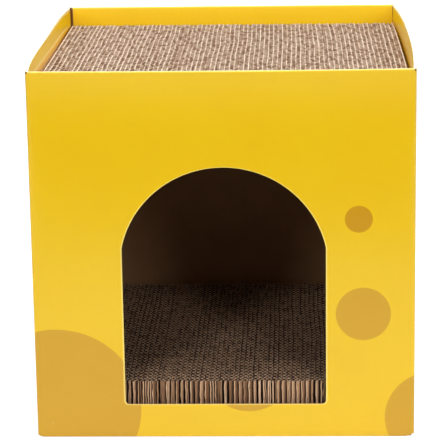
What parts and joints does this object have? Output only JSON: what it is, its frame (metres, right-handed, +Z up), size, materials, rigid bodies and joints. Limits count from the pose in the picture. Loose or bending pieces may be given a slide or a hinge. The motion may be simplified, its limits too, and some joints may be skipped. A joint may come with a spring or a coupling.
{
  "type": "cardboard cat house",
  "caption": "Folded cardboard cat house with an arched doorway, a corrugated scratching pad sunk into its roof and a second pad as its floor.",
  "frame": {"origin": "centre of the house's own box at the surface that it stands on", "axes": "+Z up; -Y out of the arched doorway; +X to the right when looking in through the doorway"},
  "size_m": [0.393, 0.41, 0.377],
  "materials": {
    "printed_board": "yellow print on fine-flute board, half gloss",
    "kraft_board": "bare brown board, matt",
    "corrugated_pad": "open coarse flutes on edge, matt"
  },
  "bodies": {
    "box": {"front_panel": "printed_board", "back_panel": "printed_board", "left_panel": "printed_board", "right_panel": "printed_board", "glue_flap": "kraft_board", "front_inner_flap": "printed_board", "back_inner_flap": "printed_board", "left_inner_flap": "printed_board", "right_inner_flap": "printed_board", "front_shelf_flap": "printed_board", "back_shelf_flap": "printed_board", "left_shelf_flap": "printed_board", "right_shelf_flap": "printed_board", "floor_board": "kraft_board", "front_bottom_flap": "printed_board", "back_bottom_flap": "printed_board", "left_bottom_flap": "printed_board", "right_bottom_flap": "printed_board"},
    "roof_board": {"roof_board": "kraft_board"},
    "roof_pad": {"roof_pad": "corrugated_pad"},
    "floor_pad": {"floor_pad": "corrugated_pad"}
  },
  "joints": [
    {"name": "roof_board_lift", "type": "slide", "parent": "box", "child": "roof_board", "axis": [0, 0, 1], "range_m": [0, 0.09]},
    {"name": "roof_pad_lift", "type": "slide", "parent": "roof_board", "child": "roof_pad", "axis": [0, 0, 1], "range_m": [0, 0.09]},
    {"name": "floor_pad_lift", "type": "slide", "parent": "box", "child": "floor_pad", "axis": [0, 0, 1], "range_m": [0, 0.15]}
  ]
}
